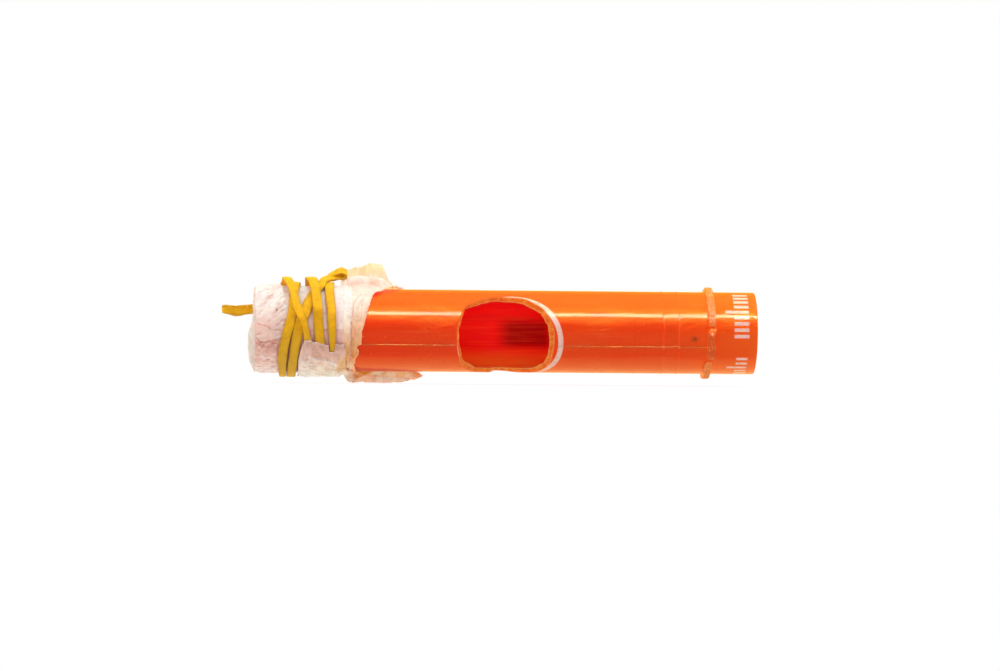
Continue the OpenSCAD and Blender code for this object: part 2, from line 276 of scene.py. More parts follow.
# ---- materials
def tube_material(name, inside):
    """Worn orange polypropylene with a plain printed ring and plain printed ticks; inside, the bore's face."""
    material, n = new_material(name)
    here = n.here()
    x, y, z = n.put("SeparateXYZ", here).outputs
    angle = n.calc("ARCTAN2", z, n.mul(y, -1))
    arc = n.mul(angle, TUBE_R)
    radius = n.length(y, z)
    outside = n.map(radius, TUBE_R - 0.12, TUBE_R - 0.04)

    # the printed ring round the hole, worn in places
    ring_x, ring_angle, ring_in, ring_out = -74.1, -17, 14.45, 15.95
    dx = n.sub(x, ring_x)
    dx = n.mul(dx, n.map(dx, -1, 1, 1.02, 1))
    ring = n.band(n.length(dx, n.sub(arc, rad(ring_angle) * TUBE_R)), ring_in, ring_out, 0.12)
    gone = n.mul(n.map(x, -73.5, -76.5), n.map(z, -1.8, -0.3))
    ring = n.mul(ring, n.sub(1, gone))

    # plain ticks near the open end
    def bars(first, last, step, thick, x_far, x_near, phase):
        """Ticks across the arc from first to last, of which every fifth is long."""
        steps = n.calc("DIVIDE", n.add(n.sub(arc, first), 500 * step), step)
        line = n.band(n.calc("FRACT", steps), 0.5 - thick / step / 2, 0.5 + thick / step / 2, 0.05)
        fifth = n.calc("FRACT", n.mul(n.add(n.calc("FLOOR", steps), phase), 0.2))
        long = n.calc("COMPARE", fifth, 0, 0.05)
        end = n.add(x_far, n.mul(n.sub(1, long), 2.6))
        run = n.mul(n.map(x, n.sub(end, 0.12), n.add(end, 0.12)), n.map(x, x_near - 0.12, x_near + 0.12, 1, 0))
        return n.mul(n.mul(line, run), n.band(arc, first, last, 0.05))

    ticks = n.most(bars(-1.9, 15.2, 1.9, 1.05, -9.6, -2.6, 1), bars(-18.7, -7.3, 1.9, 0.9, -8.8, -2.8, 2))
    wear = n.noise(here, 1.3, 6, 0.7)
    kept = n.map(wear, 0.36, 0.44, 0.25, 1)
    print_on = n.mul(n.mul(n.most(ring, ticks), kept), outside)

    # long faint streaks of handling, specks and a dark smudge
    streak = n.noise(n.scaled(here, 0.05, 1.4, 1.4), 1, 5, 0.6)
    specks = n.put("TexVoronoi", here, Scale=0.35).outputs["Distance"]
    sx, sz = n.add(x, 19), n.add(z, 1.9)
    spot = n.calc("SQRT", n.add(n.mul(n.mul(sx, sx), 0.55), n.mul(sz, sz)))
    spot = n.add(spot, n.mul(n.sub(n.noise(here, 0.9, 3), 0.5), 1.6))
    smudge = n.mul(n.map(spot, 0.2, 1.15, 0.8, 0), n.mul(n.map(y, 0, -1), outside))
    orange = n.over((0.9, 0.021, 0.005), n.map(n.noise(here, 0.16, 4, 0.55), 0.3, 0.7), (0.94, 0.031, 0.006),
        n.map(x, -28, 0, 0, 0.85), (0.98, 0.085, 0.006), n.map(x, -55, -110, 0, 0.8), (0.9, 0.007, 0.005),
        n.mul(n.map(streak, 0.56, 0.72), 0.22), (0.96, 0.22, 0.05),
        n.map(specks, 0.035, 0.07, 0.6, 0), (0.95, 0.3, 0.1), smudge, (0.22, 0.02, 0.01))
    # inside, painted light: a deeper red for the light that comes through the wall, painted light low in the bore,
    # painted shade towards the top, and a darker patch on the wall behind the hole
    shade = n.mul(n.band(x, -75.2, -60, 2.6), n.band(z, -4.7, 3.6, 1.3))
    painted_bore_light = n.add(n.map(z, -4.6, -9.6), n.mul(n.map(streak, 0.5, 0.72), 0.22), clamp=True)
    deep = n.over((0.84, 0.012, 0.022), n.mul(shade, 0.9), (0.2, 0, 0.012), painted_bore_light, (1, 0.24, 0.03),
        n.map(z, 1, 8, 0, 0.75), (0.58, 0.002, 0.014))
    # the knife's cut face: yellower, with pale scraped lines and some dirt
    cut = n.mul(n.band(radius, BORE_R + 0.1, TUBE_R - 0.09, 0.05), n.band(x, -93, -57, 0.5))
    dirt = n.noise(here, 2.1, 5, 0.75)
    lip = n.add(n.band(radius, TUBE_R - 0.22, TUBE_R - 0.06, 0.04),
        n.band(radius, BORE_R + 0.08, BORE_R + 0.3, 0.05), clamp=True)
    face = n.over((0.92, 0.085, 0.008), n.map(n.noise(here, 0.8, 5, 0.7), 0.42, 0.6), (0.98, 0.24, 0.024),
        n.map(dirt, 0.63, 0.7, 0, 0.7), (0.3, 0.07, 0.02),
        n.mul(lip, n.map(dirt, 0.4, 0.55, 0.05, 0.7)), (0.98, 0.45, 0.16))
    # the parting seams get a painted highlight along their raised beads, broken up by the same wear as the print
    seams = [n.band(angle, rad(SEAM_ANGLE + v - 3), rad(SEAM_ANGLE + v + 3), 0.004) for v in (0, 180)]
    seam = n.mul(n.map(radius, TUBE_R + 0.02, TUBE_R + 0.09), n.most(*seams))
    # the cut-off stub is rough and pale, and darker across its middle height
    stub = n.mul(n.band(x, -STUB_X - STUB_W - 0.5, -STUB_X + 0.25, 0.1), n.map(radius, TUBE_R + 0.25, TUBE_R + 0.6))
    pale = n.over((0.78, 0.12, 0.02), n.map(n.noise(here, 2.4, 4, 0.65), 0.35, 0.65), (0.98, 0.42, 0.14),
        n.mul(n.band(z, -7.6, 1.6, 1), 0.85), (0.6, 0.06, 0.01))
    colour = n.over(deep if inside else orange, cut, face, print_on, (1, 0.6, 0.56),
        n.mul(seam, n.map(wear, 0.3, 0.55, 0.3, 0.8)), (0.98, 0.2, 0.06), n.mul(stub, 0.85), pale)

    rough = n.map(streak, 0.35, 0.75, 0.38, 0.46)
    rough = n.add(rough, n.mul(n.most(stub, cut), 0.35))
    dents = n.noise(n.scaled(here, 0.35, 1, 1), 0.9, 4, 0.55)
    # it is scuffed on both sides of the hole
    scuffed = n.most(n.band(x, -102, -87.5, 1.2), n.band(x, -51, -43, 1.2))
    dents = n.add(dents, n.mul(scuffed, n.mul(n.noise(here, 1.2, 4, 0.65), 8)))
    bump = n.put("Bump", Strength=0.4, Distance=0.00007, Height=dents)
    fine = n.put("Bump", Strength=0.3, Distance=0.00003, Height=n.noise(here, 2.2, 4, 0.6), Normal=bump)
    gloss, coat, glow, glow_reach = (0.25, 0, 1, 0.007) if inside else (0.9, 0.36, 0.5, 0.002)
    n.put("OutputMaterial", n.put("BsdfPrincipled", Base_Color=colour, Roughness=rough, Normal=fine,
        Specular_IOR_Level=gloss, Specular_Tint=(1, 0.8, 0.08), Coat_Weight=coat, Coat_Roughness=0.1,
        Subsurface_Weight=glow, Subsurface_Radius=(1, 0.15, 0.04), Subsurface_Scale=glow_reach))
    return material


def tissue_material():
    """Thin, crumpled tissue; its tint says how many layers lie there and whether the tube shows through, and holds
    painted light and shade as well.
    """
    material, n = new_material("tissue")
    tint = n.put("Attribute", attribute_name="tint").outputs["Color"]
    here = n.here()
    fibres = n.noise(n.scaled(here, 1, 2.6, 2.6), 1.8, 6, 0.7)
    cloud = n.map(fibres, 0.3, 0.7, 0.93, 1.05)
    colour = n.put("VectorMath", tint, Scale=cloud, operation="SCALE").outputs[0]
    bump = n.put("Bump", Strength=0.5, Distance=0.00006, Height=n.noise(here, 1.7, 6, 0.62))
    top = n.put("BsdfPrincipled", Base_Color=colour, Roughness=0.62, Normal=bump, Specular_IOR_Level=0.25,
        Sheen_Weight=0.1)
    back = n.put("BsdfTranslucent", colour, bump)
    thin = n.put("Attribute", attribute_name="thin").outputs["Fac"]
    n.put("OutputMaterial", n.put("MixShader", thin, top, back))
    return material


def band_material():
    """Old natural rubber: amber and matt, with painted shade along the strip's edges and towards the bottom."""
    material, n = new_material("band_rubber")
    edge_shade = n.put("Attribute", attribute_name="edge_shade").outputs["Fac"]
    here = n.here()
    grain = n.noise(here, 3, 4, 0.6)
    # darker towards the bottom: painted shade
    low = n.map(n.put("SeparateXYZ", here).outputs[2], 1, -11, 0, 0.75)
    # darker along the strip's edges: painted shade
    colour = n.over((0.72, 0.335, 0.003), n.map(n.noise(here, 0.5, 4, 0.6), 0.32, 0.66), (0.91, 0.485, 0.004),
        low, (0.62, 0.36, 0.03), n.map(grain, 0.45, 0.75, 0, 0.3), (0.5, 0.24, 0.01),
        n.mul(edge_shade, 0.8), (0.36, 0.16, 0.01))
    bump = n.put("Bump", Strength=0.35, Distance=0.00006, Height=grain)
    n.put("OutputMaterial", n.put("BsdfPrincipled", Base_Color=colour, Roughness=0.48, Normal=bump,
        Specular_IOR_Level=0.4, Specular_Tint=(1, 0.85, 0.4), Subsurface_Weight=0.25,
        Subsurface_Radius=(1, 0.5, 0.05), Subsurface_Scale=0.0008))
    return material


PLASTIC, BORE = tube_material("tube_plastic", False), tube_material("tube_bore", True)
TISSUE, RUBBER = tissue_material(), band_material()


# ---- the tube
def hole_outline(b, outer):
    """The hole's edge at the outer or inner face, as x and angle, with the knife's uneven strokes."""
    cut = (21, 47, 69, 96, 121, 140, 163, 189, 215, 238, 262, 288, 311, 338)
    ragged = sum(0.24 * math.sin(2.3 * k + 1) * hump(b, c, 6 + 3 * math.sin(k)) for k, c in enumerate(cut))
    # the cut dips and rises where it runs under the tube
    side = turn(b, 263.5)
    under = 0.5 * hump(b, 300, 10) - 3.2 * peak(side, np.where(side < 0, 4.5, 17))
    wave = 1 + 0.22 / (HOLE_LEN / 2) * (np.sin(rad(5 * b + 40)) + 0.6 * np.sin(rad(11 * b)))
    wave = wave - 0.055 * hump(b, 217, 20) * (1 if outer else 1.4) + (0.028 if outer else 0.05) * hump(b, 130, 26)
    hl, hs = HOLE_LEN / 2, HOLE_SPAN / 2
    if not outer:
        thick = BEVEL * (1.12 + 0.12 * np.sin(rad(7 * b)) - 0.6 * hump(b, 174, 40) - 0.66 * hump(b, 268, 46)
            + 0.12 * hump(b, 20, 30) - 0.62 * hump(b, 112, 38))
        hl, hs = hl - thick, hs - np.degrees(thick / TUBE_R)
        wave = wave + ragged / (HOLE_LEN / 2) + noise_at(np.cos(rad(b)) * 9, 5, np.sin(rad(b)) * 9) / 70
    else:
        wave = wave + 0.35 * ragged / (HOLE_LEN / 2)
    unit = lambda v: np.sign(v) * np.abs(v) ** (2 / HOLE_SQUARE)
    x = -HOLE_X + hl * wave * unit(np.cos(rad(b)))
    a = HOLE_ANGLE + hs * wave * unit(np.sin(rad(b))) + np.degrees(under / TUBE_R) * (1 if outer else 0.8)
    return x, a


def tube():
    shape = Shape()
    cols = 360
    a0 = HOLE_ANGLE - 180
    ang = a0 + np.arange(cols)
    x_right, x_left = -54, -97       # the patch's borders

    def around(x, size, seed):
        return noise(place(x, ang, size), seed)

    # from the rim, over the stub and the hairline rings, to the hole's patch
    lobe = 1 - 0.8 * hump(ang, 5.5, 6) - 0.85 * hump(ang, -40, 6.5)
    lobe = lobe - 0.5 * hump(ang, -150, 9) - 0.6 * hump(ang, 171, 7)
    lobe = lobe * (1 - 0.3 * span(-turn(ang, -17), -14, -10, 10, 14))
    bumps = 0.08 * around(0, 9, 3) + 0.1 * around(0, 22, 4)
    high = STUB_H * np.clip(lobe + bumps, 0.1, 1.1)
    shift = -0.9 * ramp(-ang, 36, 50) * (ang > -130) + 0.12 * np.sin(rad(3 * ang + 50))
    right = -STUB_X + 0.15 + shift * 0.8 + 0.07 * around(0, 14, 6)
    wide = STUB_W * (0.94 - 0.2 * hump(ang, 5.5, 7) - 0.25 * hump(ang, -40, 7) + 0.08 * around(0, 7, 7))
    rings = [(0, BORE_R + CHAMFER), (0, TUBE_R - CHAMFER)]
    rings += [(-CHAMFER * (1 - math.cos(t)), TUBE_R - CHAMFER + CHAMFER * math.sin(t)) for t in rad([30, 60, 90])]
    rings += [(-v, TUBE_R) for v in (3, 6, 9, 11.4, 11.9)]
    rings += [(right + 0.12, TUBE_R), (right + 0.02, TUBE_R + 0.15 * high), (right - 0.02, TUBE_R + 0.6 * high)]
    for u in np.linspace(0.04, 0.92, 13):
        top = high * (0.86 + 0.16 * math.sin(math.pi * u)) * (1 + 0.12 * around(u * wide * 2.6, 28, 8))
        top = top + 0.06 * around(u * wide * 4.5, 52, 9)
        rings.append((right - u * wide, TUBE_R + np.clip(top, 0.05, 1.5)))
    rings += [(right - wide * 0.99, TUBE_R + 0.5 * high), (right - wide * 1.03, TUBE_R + 0.1 * high),
        (right - wide * 1.12, TUBE_R)]
    rings += [(-v, TUBE_R) for v in (17.5, 20, 22.5)]
    for middle, tall in ((HAIR_X, 0.17), (HAIR_X + HAIR_GAP, 0.17), (36.2, 0.05)):
        worn = tall * (0.75 + 0.25 * around(middle, 6, 11))
        sway = 0.12 * np.sin(rad(ang * 2 + middle * 9))
        for off, part in ((-0.3, 0), (-0.16, 0.45), (-0.05, 0.95), (0.05, 1), (0.16, 0.5), (0.3, 0)):
            rings.append((-middle - off + sway, TUBE_R + part * worn))
        rings.append((-middle - 1.2, TUBE_R))
    rings += [(-v, TUBE_R) for v in (40, 44, 48, 51, 54)]
    shape.add([place(x, ang, r) for x, r in rings])
    # the outside past the patch, to the covered rim
    end = -TUBE_LEN
    rings = [(v, TUBE_R) for v in (x_left, -102, -108, -116, -124, -132, -140, -147, end + CHAMFER)]
    rings += [(end + CHAMFER * (1 - math.sin(t)), TUBE_R - CHAMFER * (1 - math.cos(t))) for t in rad([45, 90])]
    rings += [(end, BORE_R + CHAMFER * 0.5), (end + CHAMFER * 0.5, BORE_R)]
    shape.add([place(x, ang, r) for x, r in rings])
    inner = (end + CHAMFER * 0.5, -145, -135, -125, -115, -106, x_left)
    shape.add([place(x, ang, BORE_R) for x in inner], mark=1)
    # the bore from the patch back to the open rim
    shape.add([place(x, ang, BORE_R) for x in (x_right, -46, -38, -30, -22, -14, -7, -3, -CHAMFER)], mark=1)
    shape.add([place(-CHAMFER, ang, BORE_R), place(-CHAMFER * 0.35, ang, BORE_R + CHAMFER * 0.35),
        place(0, ang, BORE_R + CHAMFER)])

    # the patch round the hole: lines run from the hole's edge to the patch's border
    half, across = cols // 2, 43
    side = a0 + np.arange(cols + 1)
    along = np.linspace(x_right, x_left, across + 1)
    right_x = np.full(half, x_right)
    border_x = np.concatenate([right_x, along[:-1], np.full(cols, x_left), along[::-1][:-1], right_x])
    border_a = np.concatenate([side[half:-1], np.full(across, side[-1]), side[::-1][:-1], np.full(across, side[0]),
        side[:half]])
    # share out the hole's edge by its length, quarter by quarter
    count = len(border_x)
    fine = np.linspace(0, 360, 7201)
    fx, fa = hole_outline(fine, True)
    length = np.concatenate([[0], np.cumsum(np.hypot(np.diff(fx), np.diff(rad(fa) * TUBE_R)))])
    marks = np.interp([0, 90, 180, 270, 360], fine, length)
    stations = [0, half + across / 2, cols + across, half + cols + across * 1.5, count]
    b = np.interp(np.interp(np.arange(count), stations, marks), length, fine)

    def patch(r, outer, rows=34, power=1.7):
        hx, ha = hole_outline(b, outer)
        out = []
        for i in range(rows + 1):
            t = (i / rows) ** power
            x = border_x if i == rows else hx + (border_x - hx) * t
            a = border_a if i == rows else ha + (border_a - ha) * t
            out.append(place(x, a, r))
        return out

    shape.add(patch(TUBE_R, True))
    shape.add(patch(BORE_R, False), mark=1)
    # the knife's bevel between the two faces, in uneven strokes
    ox, oa = hole_outline(b, True)
    ix, ia = hole_outline(b, False)
    wall = [place(ox, oa, TUBE_R)]
    for u in (0.08, 0.3, 0.52, 0.75, 0.93):
        p = place(ox + (ix - ox) * u, oa + (ia - oa) * u, TUBE_R - WALL * u)
        stroke = 0.16 * np.sign(noise(p * 0.22, 21)) * np.abs(noise(p * 0.45, 22)) + 0.07 * noise(p * 1.6, 23)
        wall.append(p + stroke[:, None] * math.sin(math.pi * u) * place(0, oa, 1))
    wall.append(place(ix, ia, BORE_R))
    shape.add(wall, flip=True)
    piece = shape.make("tube_body", [PLASTIC, BORE])

    # parting seams: low beads that run from the covered end to the stub
    beads = Shape()

    def bead(lo, hi, angle):
        n = int((hi - lo) / 0.35)
        x = np.linspace(lo, hi, n)
        drift = 0.35 * peak(x + 24.6, 0.8) - 0.2 * peak(x + 23.2, 0.6) + 0.08 * noise_at(x * 0.3, 31, 0, angle)
        tall = 0.15 * (0.8 + 0.35 * noise_at(x * 0.6, 32, 3, angle))
        tall = np.minimum(tall, 0.2 * np.minimum(np.arange(n), np.arange(n)[::-1]))
        section = [(-1, -0.35), (-0.55, 0.55), (0, 1), (0.55, 0.55), (1, -0.35), (0, -1.2)]
        beads.add([[place(x[i], angle + math.degrees((s * 0.2 + drift[i]) / TUBE_R), TUBE_R + tall[i] * h)
            for s, h in section] for i in range(n)])

    bead(-59.6, -STUB_X - 0.4, SEAM_ANGLE)
    bead(-TUBE_LEN + 1, -90, SEAM_ANGLE)
    bead(-TUBE_LEN + 1, -STUB_X - 0.4, SEAM_ANGLE + 180)
    seams = beads.make("tube_seams", [PLASTIC], sharp=80)
    for ob in (piece, seams):
        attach(ob, "root")
    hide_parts("tube")


# ---- the rubber band
# The winding's distance from the covered end at each quarter turn, and where it passes over another turn:
# from, to (in degrees along it) and how softly it comes down
TURNS = np.array([[11.9, 9.1, 8.15, 7.5], [8.6, 15, 15, 15.6], [16.6, 18.9, 19.6, 20.4], [22.6, 22.6, 23.2, 21.6],
    [19, 12.7, 10.65, 11.5]]).ravel()
LIFTED = [(305, 446, 20), (676, 784, 20), (1308, 1410, 24)]


def turn_s(w):
    """Distance from the covered end of the winding's middle, w degrees along it."""
    w = np.asarray(w, float)
    i = np.floor(w / 90).astype(int)
    t = w / 90 - i
    m = lambda k: TURNS[(i + k) % 20]
    p, q, r, s = m(-1), m(0), m(1), m(2)
    sway = sum(by * peak(w - at, wide) for by, at, wide in [(-0.6, 128, 30), (1.1, 68, 28), (-1.2, 422, 22),
        (0.9, 342, 22), (-0.35, 716, 18), (-0.25, 806, 20), (-1, 1106, 38), (0.9, 1468, 26), (0.35, 1504, 18),
        (-0.15, 1570, 40)])
    return sway + 0.5 * (2 * q + (r - p) * t + (2 * p - 5 * q + 4 * r - s) * t * t
        + (3 * q - p - 3 * r + s) * t ** 3)


def band_rings():
    """Rings on the winding: [s, degrees along it, height over the seat, yaw, roll, width]."""

    def wound(w, yaw):
        lift = max(float(span(w, lo - 24, lo, hi, hi + soft)) for lo, hi, soft in LIFTED)
        width = np.interp(w, [0, 60, 120, 145, 165, 190, 230, 300, 380, 425, 452, 480, 560, 690, 725, 760, 850, 900,
            1100, 1165, 1185, 1205, 1260, 1440, 1478, 1500, 1525, 1560, 1620, 1785],
            [2.7, 2.9, 2.8, 2.4, 2, 2, 2.5, 2.6, 2.5, 2.5, 1.9, 2.3, 2.75, 2.8, 3.25, 2.9, 2.75, 2.6, 2.75, 2.4,
            1.9, 1.8, 2.4, 2.5, 3.2, 3.4, 3.1, 2.75, 2.6, 2.6])
        return [float(turn_s(w)), w, (BAND_T + CROSS_GAP) * lift, yaw, 0, float(width)]

    back, rise = 0.4 - EAR_REACH, EAR_RISE
    left_ear = [[6.4, 283, 0.05, -30, 0, 2.6], [4.2, 290, 0.3, -62, 0, 2.6], [1.2, 294, 0.55, -85, 0, 2.8],
        [back * 0.25, 295.3, 0.6, -90, 0, 3], [back * 0.6, 293.8, 0.6, -92, 0, 3.1],
        [back + 1.4, 294.6, 0.65, -98, 0, 2.9], [back + 0.4, 294.4, 0.95, -97, 0, 2.6],
        [back, 294, 1.35, -95, 0, 2.3], [back + 0.4, 293.4, 1.8, -97, 0, 2.6],
        [back + 1.4, 292.6, 2.05, -98, 0, 2.9], [back * 0.6, 290.6, 1.95, -90, 0, 3.1],
        [back * 0.25, 292.8, 1.95, -90, 0, 3], [1.2, 296, 1.9, -95, 0, 2.8], [4.2, 301.5, 1.85, -118, 0, 2.6],
        [6.6, 307, 1.7, -150, 0, 2.6]]
    top_ear = [[19.7, 1404, 1.6, -155, -10, 2.6], [20.2, 1417, 2, -125, -22, 2.7],
        [21.6, 1428, 2.6, -100, -32, 2.9], [23.4, 1435, 0.85 * rise, -92, -38, 3],
        [25.2, 1439, rise + 0.1, -90, -40, 3], [26.3, 1440, rise - 0.2, -90, -40, 2.9],
        [26.8, 1440, rise - 0.9, -90, -40, 2.8], [26.3, 1439, rise - 1.6, -90, -40, 2.9],
        [24.9, 1438, 2.15, -90, -38, 3.1], [23, 1438, 1.65, -88, -34, 3.1], [21.2, 1441, 1.3, -75, -26, 2.8],
        [20, 1450, 0.85, -48, -12, 2.6], [19.2, 1461, 0.25, -26, 0, 2.6]]
    step = 7.5
    first, middle, last = [[wound(w, yaw) for w in np.arange(lo, hi, step)]
        for lo, hi, yaw in ((0, 270.1, 0), (315, 1395.1, -180), (1470, 1792, 0))]
    rings = np.array(first + left_ear + middle + top_ear + last, float)
    rings[:, 2] += TOP_LIFT * hump(90 - rings[:, 1], 90, 38)
    rings[:, 2] += 0.45 * (peak(rings[:, 1] - 180, 28) + peak(rings[:, 1] - 1620, 28))
    return rings


def lerp(s, q0, q1, t0, t1):
    """The value at s on the line from q0 at t0 to q1 at t1."""
    return q0 * (t1 - s) / (t1 - t0) + q1 * (s - t0) / (t1 - t0)


def rubber_band():
    k = band_rings()
    count = len(k)
    a = 90 - k[:, 1]
    mid = place(-TUBE_LEN + k[:, 0], a, SEAT_R + k[:, 2])
    yaw, roll = rad(k[:, 3]), rad(k[:, 4])
    round_ = np.stack([0 * a, np.sin(rad(a)), np.cos(rad(a))], -1)
    out = np.stack([0 * a, -np.cos(rad(a)), np.sin(rad(a))], -1)
    wide = np.cos(roll)[:, None] * (np.cos(yaw)[:, None] * [1, 0, 0]
        + np.sin(yaw)[:, None] * round_) + np.sin(roll)[:, None] * out

    # a smooth closed curve through the rings, with knots spaced by the root of their distance
    parts = 5
    pts, wid, size = [], [], []
    for i in range(count):
        p = [mid[(i + d) % count] for d in (-1, 0, 1, 2)]
        t = [0]
        for d in range(3):
            t.append(t[-1] + max(1e-6, np.linalg.norm(p[d + 1] - p[d])) ** 0.5)
        for u in np.arange(parts) / parts:
            s = t[1] + (t[2] - t[1]) * u
            a1, a2, a3 = [lerp(s, p[d], p[d + 1], t[d], t[d + 1]) for d in range(3)]
            b1, b2 = lerp(s, a1, a2, t[0], t[2]), lerp(s, a2, a3, t[1], t[3])
            pts.append(lerp(s, b1, b2, t[1], t[2]))
            wid.append(wide[i] * (1 - u) + wide[(i + 1) % count] * u)
            size.append(k[i, 5] * (1 - u) + k[(i + 1) % count, 5] * u)
    pts, wid, size = np.array(pts), np.array(wid), np.array(size)
    way = np.roll(pts, -1, 0) - np.roll(pts, 1, 0)
    way /= np.linalg.norm(way, axis=1)[:, None]
    wid -= (wid * way).sum(1)[:, None] * way
    wid /= np.linalg.norm(wid, axis=1)[:, None]
    nor = np.cross(wid, way)
    # flat faces, sharp cut edges that are a little uneven
    face = [(u * 0.94, 1 - 0.16 * u * u - 0.1 * u ** 6) for u in np.linspace(-1, 1, 9)]
    face += [(1, 0.45), (1, 0), (1, -0.45)]
    section = face + [(-u, -v) for u, v in face]
    rings, edge_shade = [], []
    for u, v in section:
        ragged = 1 + 0.035 * noise(pts * 0.9 + u * 3, 41) + 0.02 * noise(pts * 3.1 + u * 7, 42)
        thick = 1 + 0.05 * noise(pts * 0.7 + 11, 43)
        cup = 0.05 * (u * u) * noise(pts * 0.35 + 5, 44)
        rings.append(pts + wid * (u * size / 2 * ragged)[:, None]
            + nor * ((v * BAND_T / 2 * thick) + cup * np.sign(v))[:, None])
        # painted shade along the strip's edges, uneven along its length
        edge_shade.append(np.full(len(pts), abs(u) ** 4) * (0.6 + 0.4 * noise(pts * 0.6, 45)))
    rings, edge_shade = np.stack(rings, 1), np.clip(np.stack(edge_shade, 1), 0, 1)
    edge_shade = np.concatenate([edge_shade, edge_shade[:1]])
    shape = Shape()
    shape.add(np.concatenate([rings, rings[:1]]))
    ob = shape.make("band", [RUBBER], sharp=50, values=[("edge_shade", edge_shade.ravel())])
    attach(ob, "root")
    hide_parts("rubber_band")


# ---- the tissue
def table(v, *pairs):
    """The value at v on straight lines through (v, value) pairs."""
    return np.interp(v, [p[0] for p in pairs], [p[1] for p in pairs])


def by_angle(a, *pairs):
    """A table over angles, from -180 to 180, that closes on itself."""
    first, last = pairs[0], pairs[-1]
    return table(turn(a, 0), (last[0] - 360, last[1]), *pairs, (first[0] + 360, first[1]))


def edge_s(a):
    """Where the torn edge of the sleeve lies, from the covered end."""
    e = by_angle(a, (-165, 33.6), (-150, 34.2), (-138, 36), (-130, 41), (-122, 47), (-113, 49.6), (-103, 50.2),
        (-96, 49.9), (-90, 47.9), (-85, 41), (-80, 35), (-76, 31.5), (-70, 30), (-54, 29.2), (-50, 29.5),
        (-42, 29.6), (-37, 30.1), (-34, 30.6), (-27, 30.4), (-24, 29.9), (-20.8, 30.7), (-19.4, 31.4), (-3, 31.4),
        (9, 32.1), (24, 33.1), (40, 33.9), (52, 34.7), (60, 35.6), (64, 37.2), (70, 38.4), (78, 40.5), (84, 42),
        (92, 43.4), (104, 44), (112, 43.2), (120, 41), (130, 37.5), (150, 35.5), (172, 34))
    return e + 0.16 * noise(place(0, a, 9), 51) + 0.1 * noise(place(0, a, 24), 52)


# Creases seen in the sheet: height, width and painted shade (below nought, painted light on a ridge), then s and
# angle of each point
CREASES = [(-0.16, 0.35, 0.5, 4.7, 46, 3, 37, 1.7, 30), (-0.16, 0.35, 0.5, 9.2, 61, 7.3, 52, 5.9, 43),
    (-0.18, 0.35, 0.55, 7.7, 42, 5.8, 24), (-0.1, 0.3, 0.35, 1.3, 24, 3.9, 23), (0.2, 0.5, -0.4, 4.3, 19, 1.9, 8),
    (-0.24, 0.38, 0.75, 0.5, 7, 2.3, 6, 3, 4, 4.7, 0, 7.4, -1), (-0.18, 0.4, 0.6, 6.2, 6, 7.3, 10, 8.6, 13),
    (0.26, 0.5, -0.6, 0.3, -10, 1.4, -15.5, 3.1, -14.5, 4.9, -12.5, 7.6, -9.5),
    (-0.26, 0.36, 1, 0.3, -12, 1.4, -18, 3.1, -17, 4.9, -15, 7.6, -11.5), (-0.2, 0.35, 0.8, 0.2, -19, 2.3, -22),
    (-0.2, 0.35, 0.75, 4.9, -18, 5.9, -20, 7, -24), (-0.16, 0.3, 0.9, 2.6, -46, 4, -44),
    (0.16, 0.4, -0.5, 1.4, -34, 2.2, -40, 5, -42), (-0.14, 0.3, 0.5, 0.6, -50, 3.4, -53),
    (-0.14, 0.3, 0.5, 4.8, -48, 7, -54), (-0.14, 0.32, 0.5, 0.7, 28, 4.6, 50, 8.9, 77),
    (-0.14, 0.32, 0.55, 1, 6, 5, 21.6, 8.9, 37), (-0.13, 0.32, 0.45, 3, 52, 7.6, 80),
    (0.12, 0.45, -0.5, 1, 16, 4.4, 32, 8, 50), (-0.12, 0.28, 0.6, 1, -31, 2.5, -20, 4.3, -11.5, 6.9, -16),
    (-0.12, 0.28, 0.5, 6.9, -16, 6.6, -25, 6.3, -32.5), (0.14, 0.35, -0.45, 6.3, -32.5, 2.7, -42, 1.2, -33),
    (-0.12, 0.3, 0.45, 0.5, -58, 3.5, -62, 7, -60), (-0.12, 0.35, 0.35, 0.6, 52, 3.5, 66, 6.5, 78),
    (0.14, 0.5, -0.3, 0.6, 40, 4.5, 55, 8.4, 70), (-0.12, 0.25, 0.6, 19.4, 22, 22.6, 24),
    (-0.12, 0.25, 0.9, 20.3, -1, 21.8, 0), (-0.15, 0.3, 1, 24.2, -50, 26.8, -46),
    (-0.16, 0.3, 0.5, 31, 55, 28.9, 38, 28.5, 18), (-0.14, 0.28, 0.4, 32.6, 51, 30.8, 39, 29.9, 26, 28.9, 13),
    (-0.2, 0.35, 0.8, 28.2, 10, 28.4, -16, 28.2, -44), (-0.12, 0.3, 0.3, 31.8, 46, 31.2, 20, 30.4, 0),
    (0.12, 0.3, -0.2, 30.2, 2, 29.8, -12, 29.4, -30), (-0.08, 0.3, 0.25, 24.5, 64, 24.3, 20, 24.4, 4),
    (-0.2, 0.5, 0.35, 28, 74, 32, 84, 37, 82), (-0.2, 0.4, 0.5, 27, 76, 29.5, 80, 33, 79, 37.5, 74),
    (-0.3, 0.5, 0.3, 27.4, 100, 31, 106, 38, 104), (0.35, 0.5, 0.45, 27.6, -63, 28.8, -80, 29.6, -94),
    (-0.3, 0.5, 0.6, 27.8, -62, 31.5, -73, 37, -82), (0.3, 0.45, -0.4, 27.7, -60, 30.5, -67, 33.5, -76),
    (0.3, 0.5, -0.5, 37.5, -84, 40.5, -95, 41, -104), (-0.25, 0.5, 0.35, 33, -90, 37, -98, 42, -98, 46, -93),
    (0.22, 0.5, -0.3, 30.2, -97, 34, -90, 38.5, -88)]


